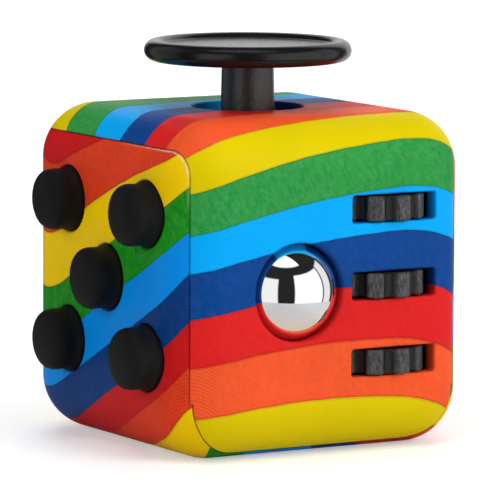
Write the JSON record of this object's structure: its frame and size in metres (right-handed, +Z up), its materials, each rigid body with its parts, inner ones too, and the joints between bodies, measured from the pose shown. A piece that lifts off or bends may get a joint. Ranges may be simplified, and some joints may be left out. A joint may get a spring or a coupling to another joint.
{
  "type": "fidget cube",
  "caption": "Small rounded desk cube with push buttons, a sliding thumb disc, a rolling ball, toothed wheels, a rocker and a dial.",
  "frame": {"origin": "centre of the bottom face of the cube, on the surface it stands on", "axes": "+Z up through the thumb disc, -Y out of the face with the ball and gears, -X out of the face with the buttons"},
  "size_m": [0.0394, 0.0376, 0.0396],
  "materials": {
    "printed_shell": "rainbow print on satin ABS",
    "soft_black": "matte silicone",
    "disc_black": "satin ABS",
    "gear_black": "fine textured nylon",
    "ball_chrome": "polished",
    "inner_plastic": "plain moulded ABS",
    "clear_silicone": "translucent silicone",
    "steel": "zinc-plated"
  },
  "bodies": {
    "case": {"upper_shell": "printed_shell", "lower_shell": "printed_shell", "dome_sheet": "clear_silicone", "button_plate": "inner_plastic", "glide_base": "inner_plastic", "centring_ring": "clear_silicone", "ball_spring": "steel", "ball_bracket": "inner_plastic", "gear_axle": "steel", "gear_bracket": "inner_plastic", "gear_detents": "steel", "rocker_pin": "steel", "rocker_housing": "inner_plastic", "rocker_spring": "steel", "core_post": "inner_plastic", "case_screws": "steel"},
    "glide_cross": {"glide_guide": "inner_plastic"},
    "glide": {"thumb_disc": "disc_black", "glide_stem": "disc_black", "glide_flange": "disc_black", "glide_screw": "steel"},
    "cup": {"ball_cup": "inner_plastic"},
    "ball": {"roller_ball": "ball_chrome"},
    "rocker_body": {"rocker": "gear_black"},
    "dial": {"spin_dial": "gear_black", "dial_washer": "steel", "dial_screw": "steel"},
    "push_1": {"button_1": "soft_black"},
    "push_2": {"button_2": "soft_black"},
    "push_3": {"button_3": "soft_black"},
    "push_4": {"button_4": "soft_black"},
    "push_5": {"button_5": "soft_black"},
    "wheel_top": {"gear_top": "gear_black"},
    "wheel_middle": {"gear_middle": "gear_black"},
    "wheel_bottom": {"gear_bottom": "gear_black"}
  },
  "joints": [
    {"name": "button_1_press", "type": "slide", "parent": "case", "child": "push_1", "axis": [1, 0, 0], "range_m": [0, 0.001], "stiffness_N_per_m": 600, "springref_m": -0.001, "deforming": ["dome_sheet"]},
    {"name": "button_2_press", "type": "slide", "parent": "case", "child": "push_2", "axis": [1, 0, 0], "range_m": [0, 0.001], "stiffness_N_per_m": 600, "springref_m": -0.001, "deforming": ["dome_sheet"]},
    {"name": "button_3_press", "type": "slide", "parent": "case", "child": "push_3", "axis": [1, 0, 0], "range_m": [0, 0.001], "stiffness_N_per_m": 600, "springref_m": -0.001, "deforming": ["dome_sheet"]},
    {"name": "button_4_press", "type": "slide", "parent": "case", "child": "push_4", "axis": [1, 0, 0], "range_m": [0, 0.001], "stiffness_N_per_m": 600, "springref_m": -0.001, "deforming": ["dome_sheet"]},
    {"name": "button_5_press", "type": "slide", "parent": "case", "child": "push_5", "axis": [1, 0, 0], "range_m": [0, 0.001], "stiffness_N_per_m": 600, "springref_m": -0.001, "deforming": ["dome_sheet"]},
    {"name": "glide_y", "type": "slide", "parent": "case", "child": "glide_cross", "axis": [0, 1, 0], "range_m": [-0.0019, 0.0019], "stiffness_N_per_m": 300, "deforming": ["centring_ring"]},
    {"name": "glide_x", "type": "slide", "parent": "glide_cross", "child": "glide", "axis": [1, 0, 0], "range_m": [-0.0019, 0.0019], "stiffness_N_per_m": 300, "deforming": ["centring_ring"]},
    {"name": "ball_press", "type": "slide", "parent": "case", "child": "cup", "axis": [0, 1, 0], "range_m": [0, 0.0012], "stiffness_N_per_m": 600, "springref_m": -0.001, "deforming": ["ball_spring"]},
    {"name": "ball_roll", "type": "hinge", "parent": "cup", "child": "ball", "pos_m": [-0.00366, -0.0138, 0.0163], "axis": [1, 0, 0], "continuous": true},
    {"name": "gear_top_spin", "type": "hinge", "parent": "case", "child": "wheel_top", "pos_m": [0.0071, -0.0125, 0.02405], "axis": [0, 0, 1], "continuous": true, "deforming": ["gear_detents"]},
    {"name": "gear_middle_spin", "type": "hinge", "parent": "case", "child": "wheel_middle", "pos_m": [0.0071, -0.0125, 0.0165], "axis": [0, 0, 1], "continuous": true, "deforming": ["gear_detents"]},
    {"name": "gear_bottom_spin", "type": "hinge", "parent": "case", "child": "wheel_bottom", "pos_m": [0.0071, -0.0125, 0.00895], "axis": [0, 0, 1], "continuous": true, "deforming": ["gear_detents"]},
    {"name": "rocker_flip", "type": "hinge", "parent": "case", "child": "rocker_body", "pos_m": [0, 0.0132, 0.0165], "axis": [1, 0, 0], "range_deg": [0, 24], "deforming": ["rocker_spring"]},
    {"name": "dial_spin", "type": "hinge", "parent": "case", "child": "dial", "pos_m": [0.0165, 0, 0.0165], "axis": [1, 0, 0], "continuous": true}
  ]
}
